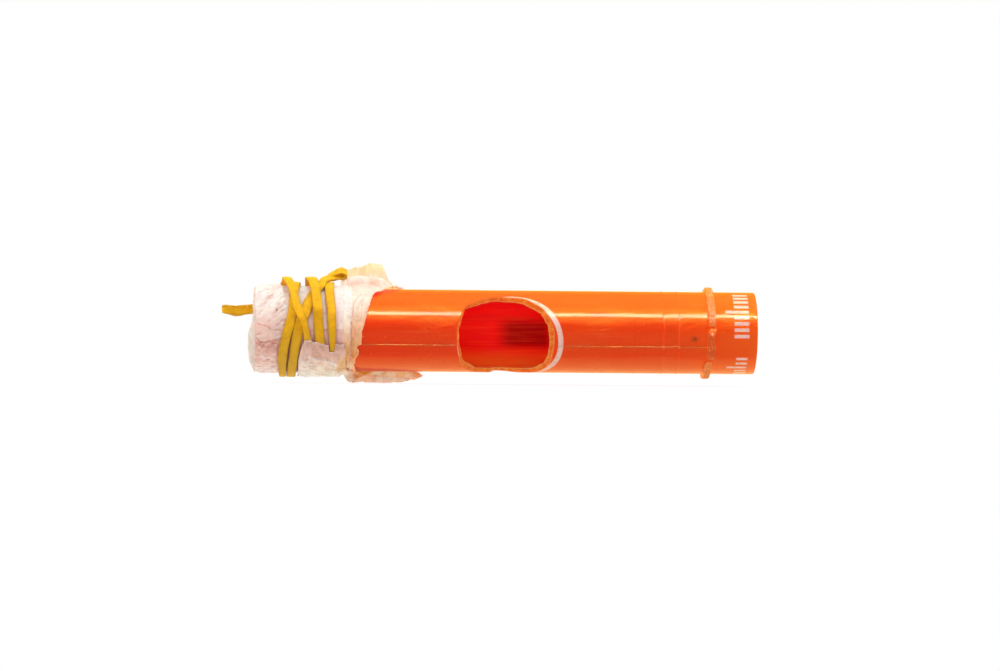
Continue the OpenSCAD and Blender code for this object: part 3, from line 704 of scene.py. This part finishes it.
def crease_fields(s, a):
    """How far the creases above raise the sheet, and how much they shade it."""
    high, shade = np.zeros(s.shape), np.zeros(s.shape)
    v = turn(a, 0) * rad(1) * TISSUE_R
    for tall, wide, dark, *line in CREASES:
        at_s, at_v = line[::2], rad(line[1::2]) * TISSUE_R
        pts = list(zip(at_s, at_v))
        near = (s > min(at_s) - 2) & (s < max(at_s) + 2) & (v > min(at_v) - 2) & (v < max(at_v) + 2)
        if not near.any():
            continue
        x, y = s[near], v[near]
        jag = 0.22 * noise_at(x * 1.1, 61, y * 1.1)
        best = np.full(x.shape, 9.0)
        for (x0, y0), (x1, y1) in zip(pts[:-1], pts[1:]):
            ux, uy = x1 - x0, y1 - y0
            t = np.clip(((x - x0) * ux + (y - y0) * uy) / (ux * ux + uy * uy), 0, 1)
            best = np.minimum(best, np.hypot(x - x0 - ux * t + jag, y - y0 - uy * t + jag))
        high[near] += tall * peak(best, wide)
        shade[near] += dark * peak(best, wide * 0.75)
    return high, shade


def under_band(s, a):
    """1 where the band presses on the sheet."""
    w0 = (90 - np.asarray(a, float)) % 360
    press = np.zeros(np.broadcast(s, a).shape)
    for k in range(5):
        w = w0 + 360 * k
        free = (w > 272) & (w < 318) | (w > 1398) & (w < 1468)
        reach = np.abs(s - turn_s(np.minimum(w, 1799.9)))
        press = np.maximum(press, np.where(free, 0, 1 - ramp(reach, 1.1, 2.1)))
    return press


def pleat(s, a):
    """The round pleat beside the band: a strip of several layers with crisp sides."""
    angles = (-160, -62, -45, -19, 1, 23, 66, 120)
    left = by_angle(a, *zip(angles, (26.2, 27, 26.9, 26.6, 26, 25.9, 25.9, 26.2)))
    right = by_angle(a, *zip(angles, (27.8, 27.8, 28.1, 28, 27.8, 27.6, 27.4, 27.6)))
    return span(s, left - 0.22, left + 0.12, right - 0.1, right + 0.18)


def sleeve_lift(s, a):
    """The sleeve's height over the tube, with the loose corners, and the fields that colour it."""
    p = place(s, a, TISSUE_R)
    press = under_band(s, a)
    d = turn(a, 0)
    spiral = place(s / 5.5, a - 3 * s, TISSUE_R / 1.5)
    upright = place(s / 0.9, a, TISSUE_R / 6)
    left, right = 1 - ramp(s, 7.5, 9.5), ramp(s, 27.5, 29)      # of the band
    soft = fold(p / 3.1, 71)
    fine = fold(p / 1.25, 72)
    lift = 0.16 + 0.13 * soft + 0.07 * fine + 0.025 * fold(p / 0.6, 73)
    lift += left * (0.22 + 0.2 * fold(spiral, 74)) * ramp(s, -0.3, 0.8)
    lift += left * 0.1 * fold(place(s / 4, a, TISSUE_R / 0.8), 75) * (1 - ramp(s, 0.8, 3.5))
    lift += 0.2 * left * hump(a, 92, 45) * ramp(s, 0, 1.5)
    lift += right * (0.12 + 0.12 * fold(upright, 76))
    high, shade = crease_fields(s, a)
    # thin valley lines, slanting ones left of the band and upright ones right of it, lowered a little and given
    # painted shade
    slant = place(s / 4.2, a - 3.2 * s, TISSUE_R / 1.9)
    lines = peak(noise(slant, 81), 0.06) * ramp(noise(p / 2.2, 82), -0.25, 0.25) * left
    lines += 0.8 * peak(noise(slant * 2.1, 83), 0.08) * ramp(noise(p / 1.6, 84), 0, 0.4) * left
    tall = place(s / 0.75, a, TISSUE_R / 4.5)
    lines += 0.8 * peak(noise(tall, 85), 0.07) * ramp(noise(p / 2, 86), -0.1, 0.4) * right
    calm = 1 - hump(a, 100, 32) * ramp(s, 26, 28)
    shade = (shade + 0.62 * np.clip(lines, 0, 1)) * calm
    lift += high - 0.14 * np.clip(lines, 0, 1) * calm
    lift = np.maximum(lift * (1 - press) + 0.14 * press, -0.08) + 0.4 * hump(a, 90, 38) * span(s, 0, 2, 25.5, 27.5)
    # where the left ear's legs run off the sleeve, it is held down
    lift = lift * (1 - 0.8 * hump(a, 157, 20) * (1 - ramp(s, 6, 9)))
    lift += 0.42 * pleat(s, a) * (1 + 0.15 * fine)
    # layer edges: the upper layer ends in a crisp step under the last two turns
    step = table(s, (20.3, -1.5), (22, 0.5), (25.2, 1), (27, 2)) + 1.2 * noise(p / 1.4, 77)
    upper = ramp(d, step - 0.5, step + 0.5) * span(s, 19.6, 20.4, 25.4, 25.9) * (1 - ramp(d, 60, 90))
    lift += 0.13 * upper * (1 - press)

    # the loose corner behind the top: a low front layer and a high back one
    front = table(s, (24.8, 0), (25.6, 0.5), (26.4, 1.7), (27.4, 2.75), (30.6, 3.65), (33.6, 3.25), (36.2, 2.85),
        (38.2, 2.25), (39.7, 1.35), (41.8, 0.65), (43.5, 0.2), (45, 0))
    behind = table(s, (24.8, 0), (25.4, 1.2), (25.9, 4.8), (26.6, 7.3), (29.7, 8), (32.2, 8.4), (34.2, 8.8),
        (36.3, 8.5), (38.1, 8), (38.8, 7), (39.3, 5.4), (40, 3.75), (41.2, 2.2), (43, 0.6), (45, 0.2))
    sway = 2.5 * noise_at(s / 3.2, 78)
    wide = np.where(turn(a, 93) < 0, 17, 13)
    layer1 = front * hump(a, 93 + sway * 0.5, wide)
    layer2 = behind * hump(a, 114 + sway, 7.5)
    rough = 1 + 0.07 * noise(p / 3.4, 79) + 0.025 * noise(p / 1.3, 80)
    flare = np.maximum(layer1, layer2) * rough
    # the loose corner under the tube
    down = table(s, (24.6, 0), (25.6, 0.45), (26.8, 1.2), (28.1, 3), (29.4, 3.45), (32, 3), (35, 3.45), (38, 3.75),
        (43.7, 3.4), (46.3, 2.5), (48.8, 1.5), (50.6, 0.9), (52, 0.2), (60, 0.1))
    off = turn(a, -100)
    wide = np.where(off > 0, table(s, (27, 26), (30, 25), (36, 17), (50, 15)), 28)
    flap = down * peak(off, wide) * (1 + 0.07 * noise(place(s / 3, a, TISSUE_R / 4), 81))
    # the small hole that the folds run into
    pit = peak(s - 27.4, 0.55) * hump(a, -61, 3.6)
    lift += flare + flap - 0.5 * pit
    return lift, flare, flap, press, shade, pit, soft, fine


def tones(d, ends, *rows):
    """A tint over the angle d: ends at -180 and 180, and between them rows of angle, red, green, blue."""
    rows = [(-180, *ends), *rows, (180, *ends)]
    return np.stack([np.interp(d, [r[0] for r in rows], [r[k] for r in rows]) for k in (1, 2, 3)], -1)


def blend(c, *layers):
    """c with other colours laid over it: weight, colour, weight, colour ..."""
    for w, other in zip(layers[::2], layers[1::2]):
        c = c * (1 - w[..., None]) + np.asarray(other) * w[..., None]
    return c


def tinted(c, w, by):
    """c made brighter or darker where w is set, by these shares of red, green and blue."""
    return c * (1 + w[..., None] * np.array(by))


def sheet_colour(s, a, lift, flare, flap, press, shade, pit, soft, fine):
    d = turn(a, 0)
    z = (TISSUE_R + lift) * np.sin(rad(a))
    far = (0.93, 0.85, 0.8)
    # right of the last turn: lavender above the layer's edge, brownish under it
    strip = span(s, 8.5, 10, 25.5, 26.5)
    # the gap between the first two turns at the front gets painted shade, deep and dark
    cleft = span(s, 8.6, 9.6, 12.6, 13.8) * span(d, -84, -60, 2, 12)
    # tints over the angle for each zone: besides how much of the tube shows through, they hold painted light over the
    # top and painted shade below the front
    c = blend(
        tones(d, far, (-72, 0.95, 0.8, 0.72), (-48, 0.91, 0.62, 0.52), (-28, 0.89, 0.55, 0.46),
            (-16, 0.91, 0.55, 0.45), (-10, 0.96, 0.69, 0.59), (8, 0.99, 0.73, 0.64), (30, 1, 0.92, 0.85),
            (58, 1, 0.95, 0.91), (75, 1, 0.9, 0.84)),
        strip * 0.85, tones(d, far, (-70, 0.9, 0.78, 0.7), (-25, 0.85, 0.54, 0.46), (0, 0.88, 0.56, 0.49),
            (2, 1, 0.82, 0.78), (40, 1, 0.9, 0.88), (80, 0.97, 0.92, 0.9)),
        cleft * 0.8, (0.4, 0.14, 0.09),
        pleat(s, a), tones(d, far, (-72, 0.95, 0.72, 0.5), (-50, 0.86, 0.36, 0.12), (-22, 0.8, 0.43, 0.15),
            (-8, 0.95, 0.64, 0.37), (8, 1, 0.85, 0.66), (30, 1, 0.95, 0.87)),
        ramp(s, 28, 28.7), tones(d, (0.9, 0.7, 0.5), (-58, 0.92, 0.36, 0.08), (-42, 0.82, 0.28, 0.06),
            (-22, 0.8, 0.38, 0.13), (-4, 0.9, 0.49, 0.26), (12, 0.98, 0.64, 0.42), (28, 1, 0.82, 0.67),
            (50, 1, 0.85, 0.73), (62, 0.97, 0.79, 0.67), (80, 0.95, 0.78, 0.67)))
    loose, back = ramp(flare, 0.5, 1.6), ramp(turn(a, 104), -1, 4)
    c = blend(c, loose * (1 - back), tones(d, (1, 0.97, 0.93), (80, 0.95, 0.78, 0.67), (92, 0.99, 0.99, 0.93)),
        loose * back, (0.98, 0.84, 0.65))
    # painted crease shade and light over the loose layers
    c = tinted(c, 0.07 * loose * fold(place(s, a, TISSUE_R) @ TURNED / 2.3, 120), [0.4, 1, 1.6])
    edge = (1 - ramp(edge_s(a) - s, 0.1, 1.3)) * (1 - ramp(turn(a, 90), -12, 2)) * (1 - ramp(flap, 0.3, 1.5))
    hang = ramp(flap, 0.4, 1.4)
    # between the folds that run from the small hole: painted shade with the tube's orange in it as painted reflection
    inner = ramp(s + 0.45 * (z + 14.4), 28.9, 30.2) * (1 - ramp(s - 2.4 * (z + 12.4), 34.6, 36.6))
    tip = peak(s - 48.6, 2) * peak(z + 13, 1.2)
    gather = span(s, 23.5, 25, 28.5, 30) * hump(a, -56, 9)
    # over the loose flap under the tube: cream with painted orange light from the tube on some folds, painted shade
    # along its lowest edge, and an orange spot at its tip
    c = blend(c, span(s, 39.5, 42, 46, 50) * ramp(d, 80, 92) * 0.5, (0.97, 0.74, 0.42), edge * 0.5, (0.95, 0.55, 0.3),
        hang, blend(np.zeros(c.shape) + (1, 0.88, 0.66), ramp(soft, -0.1, 0.5), (1, 0.68, 0.4)),
        hang * inner * (1 - ramp(z, -11.9, -11.2)) * 0.95, (0.82, 0.31, 0.04),
        hang * (1 - ramp(z, -16.2, -14.4)) * 0.6, (0.93, 0.66, 0.42), tip * 0.9, (0.93, 0.36, 0.08),
        gather * 0.8, (0.88, 0.62, 0.36))
    # painted shade in the creases and valley lines, and painted light along the ridges
    c = tinted(c, np.clip(shade, 0, 1.2), [-0.3, -0.54, -0.58])
    c = blend(c, np.clip(-shade, 0, 1) * 0.6, (1, 0.96, 0.93))
    # brighter on the raised crumples and darker in their dips: painted light and shade
    c = c * (1 + 0.03 * soft[..., None] + 0.05 * (fine - 0.4)[..., None] * [0.6, 1, 1.1])
    # painted shade in the small hole and under the band
    c = tinted(tinted(c, pit, [-0.65, -0.85, -0.9]), press, [-0.12, -0.24, -0.28])
    return np.clip(c, 0, 1), np.clip(0.14 + 0.4 * np.maximum(loose * (0.4 + 0.6 * back), 0.8 * hang), 0, 1)


def tissue():
    cols = 640
    a = np.arange(cols) * 360 / cols
    # rows at fixed distances up to the band's end, then rows that share out what is left to the torn edge
    last = 24.6
    fixed = np.concatenate([np.linspace(0, 1.2, 8), np.linspace(1.35, last, 112)])
    share = (np.arange(1, 121) / 120) ** 1.1
    s = np.concatenate([np.repeat(fixed[:, None], cols, 1), last + share[:, None] * (edge_s(a) - last)])
    aa = np.repeat(a[None, :], len(s), 0)
    fields = sleeve_lift(s, aa)
    # the rim is round, and the sheet turns over it
    p = place(-TUBE_LEN + s, aa, TISSUE_R + 0.02 + fields[0] * ramp(s, -0.2, 0.7))
    # loose parts are pushed about sideways
    loose = np.clip((fields[1] + fields[2]) / 3.5, 0, 1)[..., None]
    q = p / 4.5
    push = np.stack([noise(q, 91), noise(q + 7, 92), 0.3 * noise(q + 13, 93)], -1)
    push += 0.4 * np.stack([noise(q * 2.6, 94), noise(q * 2.6 + 7, 95), noise(q * 2.6, 96) * 0.3], -1)
    p = p + push * loose * [0.55, 0.7, 0.5]
    low = REST_Z + 0.03 + 0.05 * (noise(p / 1.5, 97) + 1)
    p[..., 2] = low + 0.4 * np.logaddexp(0, (p[..., 2] - low) / 0.4)
    colour, thin = sheet_colour(s, aa, *fields)

    # the membrane over the covered end: it bulges most below the middle, with gathers at the rim
    dome, dome_c = [], []
    for f in np.concatenate([[0], np.linspace(0.03, 0.9, 40), np.linspace(0.915, 0.999, 12)]):
        flat = place(0, a, TISSUE_R * f)
        low_side = ramp(-f * np.sin(rad(a)), -0.28, 0.15)
        x = -TUBE_LEN - TISSUE_GAP / 2 - 0.1 - BULGE * (1 - f ** 5) * (0.22 + 0.68 * low_side)
        cross = flat @ TURNED
        gathers = fold(place(f * 3, a + 25 * f, 9), 101) * f ** 2 * (1 - f ** 14)
        crumple = 0.3 * fold(cross / 3.7, 102) + 0.16 * fold(cross / 1.7, 103) + 0.06 * fold(cross / 0.8, 104)
        x = np.minimum(x - 0.32 * gathers - crumple * (1 - 0.5 * f ** 8), -TUBE_LEN - 0.12)
        dome.append(place(x, a, (TISSUE_R + 0.02) * f + 0.3 * (f ** 30)))
        # brighter where the crumples and gathers stand out and darker in their dips, as painted light and shade;
        # darker towards the rim
        c = 1 + (0.12 * crumple + 0.05 * gathers)[:, None] * [0.5, 1, 1.2] - 0.06 * f ** 6
        dome_c.append(np.clip(c * (1, 0.93, 0.83), 0, 1))
    dome, dome_c = np.array(dome), np.array(dome_c)

    shape = Shape()
    shape.add(np.concatenate([dome, p]))
    tints = [np.concatenate([dome_c, colour]).reshape(-1, 3)]
    thins = [np.full(dome_c.shape[:2], 0.4).ravel(), thin.ravel()]

    # the corner folded back over the band at the lower front
    u = np.linspace(0, 1, 150)
    v = u[:, None]
    left = table(v, (0, 14.5), (0.2, 13.2), (0.5, 12.6), (1, 12.35)) + 0.2 * noise_at(v * 9, 110)
    ls = left + (26.8 - left) * u
    top = table(13.1 + 13.7 * u, (13.1, -12.5), (14.8, -12.8), (16, -14.5), (17.6, -16), (18.1, -17.6),
        (20.4, -18.4), (21.1, -18.8), (21.4, -28), (23, -28.6), (23.3, -18), (26.8, -19))
    top = top + 0.9 * noise_at(u * 15, 111)
    end = table(u, (0, -96), (0.25, -112), (0.6, -104), (1, -92)) + 3 * noise_at(u * 8, 112)
    la = top + (end - top) * v
    ls = ls + 0.25 * noise_at(la * 0.12, 113) * np.sin(math.pi * u)
    lap_r = 13.5
    q = place(ls, la, lap_r)
    soft, fine = fold(q / 2.2, 114), fold(q / 0.95, 115)
    crum = 0.1 * soft + 0.06 * fine + 0.02 * fold(q / 0.5, 116)
    line = table(ls, (16.4, -38), (17.3, -39), (20.1, -40.5), (22.6, -43.5), (24.1, -48), (26.8, -52))
    gap = turn(la, 0) - line
    roll = peak(gap, 2) * ramp(ls, 16, 17.2)
    wrinkle = 0.12 * fold(place(ls / 2.4, la + 2.2 * ls, lap_r / 0.9), 117) * ramp(-gap, -14, 0)
    ridge = peak(ls - 14.9, 1.2)
    ride = 14.02 + crum + 0.3 * roll + wrinkle * 0.7 - 0.1 * peak(gap + 4.5, 1.8) * ramp(ls, 16, 17)
    ride = np.maximum(ride + 0.25 * ridge - 0.1 * peak(ls - 17, 0.7), 13.9)
    ride = ride - 0.95 * ramp(ls, 24.6, 26.6) - 0.35 * (1 - ramp(ls - left, 0, 0.5))
    lap = place(-TUBE_LEN + ls, la, ride)
    lap[..., 2] = np.maximum(lap[..., 2], REST_Z + 0.05)
    d = turn(la, 0)
    # the lap's tint: lighter low down, darker towards its top edge, paler along the rolled fold, tan at the end
    # towards the hole
    c = blend(
        tones(d, (0.9, 0.8, 0.72), (-75, 1, 0.92, 0.78), (-56, 1, 0.83, 0.66), (-44, 0.95, 0.68, 0.54),
            (-34, 0.86, 0.52, 0.4), (-20, 0.72, 0.42, 0.33)),
        1 - ramp(ls, 16, 16.5), tones(d, (0.9, 0.9, 0.88), (-70, 0.97, 0.88, 0.78), (-55, 0.98, 0.84, 0.72),
            (-38, 0.96, 0.72, 0.61), (-24, 0.92, 0.57, 0.47), (-12, 0.8, 0.5, 0.38)),
        np.clip(roll, 0, 1) * 0.85, (0.99, 0.9, 0.8),
        ramp(ls, 23.4, 25) * span(-la, 32, 48, 62, 72) * 0.9, (0.88, 0.5, 0.2))
    # brighter on the raised crumples and darker in their dips: painted light and shade
    c = tinted(c, 0.07 * fine + 0.06 * soft, [1, 1, 1])
    # painted shade in the wrinkles' valleys
    c = tinted(c, np.clip(-wrinkle / 0.12, 0, 1), [-0.12, -0.22, -0.28])
    # a painted highlight along the lap's top edge
    c = blend(c, peak(la - top, 1.6) * 0.4, (0.95, 0.8, 0.72))
    shape.add(lap, wrap=False, flip=True)
    tints.append(np.clip(c, 0, 1).reshape(-1, 3))
    thins.append(np.full(ls.size, 0.2))
    ob = shape.make("tissue_sheet", [TISSUE], sharp=0,
        values=[("tint", np.concatenate(tints)), ("thin", np.concatenate(thins))])
    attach(ob, "root")
    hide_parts("membrane", "tissue_lap")
    return ob


# ---- the stage
def stage():
    material, n = new_material("floor")
    ray = n.put("LightPath").outputs
    camera_ray, glossy, diffuse = ray["Is Camera Ray"], ray["Is Glossy Ray"], ray["Is Diffuse Ray"]
    position = n.put("NewGeometry").outputs["Position"]
    y = n.put("SeparateXYZ", position).outputs[1]
    near = n.map(y, -0.0118, -0.0086, 0.1, 1)
    white = n.most(camera_ray, n.mul(n.most(glossy, ray["Is Transmission Ray"]), near))
    far = n.put("VectorMath", position, (-0.075, 0, 0), operation="DISTANCE").outputs["Value"]
    seen = n.mul(white, n.map(far, 0.1, 0.9, 0.86, 1))
    pale, dull = n.put("BsdfDiffuse", (0.86, 0.86, 0.86)), n.put("BsdfDiffuse", (0.1, 0.1, 0.1))
    plain = n.put("MixShader", n.mul(glossy, n.sub(1, near)), pale, dull)
    power = n.add(n.add(1, n.mul(diffuse, 0.16)), n.mul(glossy, 1.2))
    glow = n.put("Emission", n.over((1, 1, 1), glossy, (1, 0.66, 0.24)), power)
    bright = n.put("MixShader", n.mul(diffuse, 0.97), plain, glow)
    n.put("OutputMaterial", n.put("MixShader", seen, bright, glow))
    mesh = bpy.data.meshes.new("floor")
    z = REST_Z * MM
    mesh.from_pydata([(-6, -3, z), (6, -3, z), (6, 9, z), (-6, 9, z)], [], [(0, 1, 2, 3)])
    mesh.materials.append(material)
    new_object("floor", mesh)

    # white all round; in reflections the side where the camera stands is dark up to the lamps
    world = bpy.data.worlds.new("studio")
    bpy.context.scene.world = world
    world.use_nodes = True
    w = Nodes(world.node_tree)
    ray = w.put("LightPath").outputs
    camera_ray, glossy = ray["Is Camera Ray"], w.most(ray["Is Glossy Ray"], ray["Is Transmission Ray"])
    way = w.put("SeparateXYZ", w.put("TexCoord").outputs["Generated"]).outputs
    angle = w.calc("ARCTAN2", way[2], w.mul(way[1], -1))

    def step(lo, hi, *ends):
        return w.map(angle, rad(lo), rad(hi), *ends)

    open_side = w.most(step(52, 61), step(-96, -88, 1, 0))
    behind = step(104, 124, 1, 0.45)
    backdrop = w.most(step(158, 168, 0, 0.6), step(-90, -85, 0.6, 0))
    strip = w.band(angle, rad(44.8), rad(52.9), rad(1.2))       # the long lamp that the tube's highlight shows
    strip_power, open_power = 36, 2.1
    room = w.mul(w.mul(open_side, w.most(behind, backdrop)), open_power)
    mirror = w.add(w.add(0.08, w.mul(strip, strip_power)), room)
    ends = w.map(w.calc("ABSOLUTE", way[0]), 0.55, 0.9, 0, 0.5)
    soft = w.add(w.add(0.66, ends), w.mul(open_side, 0.42))
    level = w.add(w.mul(glossy, mirror), w.mul(w.sub(1, glossy), soft))
    level = w.add(camera_ray, w.mul(w.sub(1, camera_ray), level))
    warm = w.mul(glossy, w.sub(1, strip), clamp=True)
    colour = w.over((1, 1, 1), glossy, (1, 0.96, 0.9), warm, (0.72, 1, 0.04))
    w.put("OutputWorld", w.put("Background", colour, level))


def lamp(name, at, aim, size, size_y, watts):
    light = bpy.data.lights.new(name, "AREA")
    light.shape = "RECTANGLE"
    light.size, light.size_y, light.energy = size, size_y, watts
    ob = new_object(name, light)
    ob.location = at
    ob.rotation_euler = (Vector(aim) - Vector(at)).to_track_quat("-Z", "Y").to_euler()
    ob.visible_glossy = False


def camera():
    """The photograph's camera: level, a little left of square on, and rolled half a degree."""
    yaw, roll = rad(3.4), rad(0.5)
    at, focal, sensor = (-149.59, -1232.83, -1.255), 4.1167, 36  # focal in widths of the sensor
    view = Vector((math.sin(yaw), math.cos(yaw), 0))
    right, up = Vector((math.cos(yaw), -math.sin(yaw), 0)), Vector((0, 0, 1))
    x = right * math.cos(roll) + up * math.sin(roll)
    y = up * math.cos(roll) - right * math.sin(roll)
    matrix = Matrix((x, y, -view)).transposed().to_4x4()
    matrix.translation = Vector(at) * MM
    data = bpy.data.cameras.new("camera")
    data.sensor_width, data.lens = sensor, sensor * focal
    data.clip_start, data.clip_end = 0.01, 50
    ob = new_object("camera", data)
    ob.matrix_world = matrix
    bpy.context.scene.camera = ob


camera()
tube()
rubber_band()
cloth = tissue()
stage()
lamp("soft_overhead", (-0.07, 0.05, 0.75), (-0.07, 0, 0), 1.3, 0.9, 4.4)
bpy.context.scene.view_settings.view_transform = "Standard"
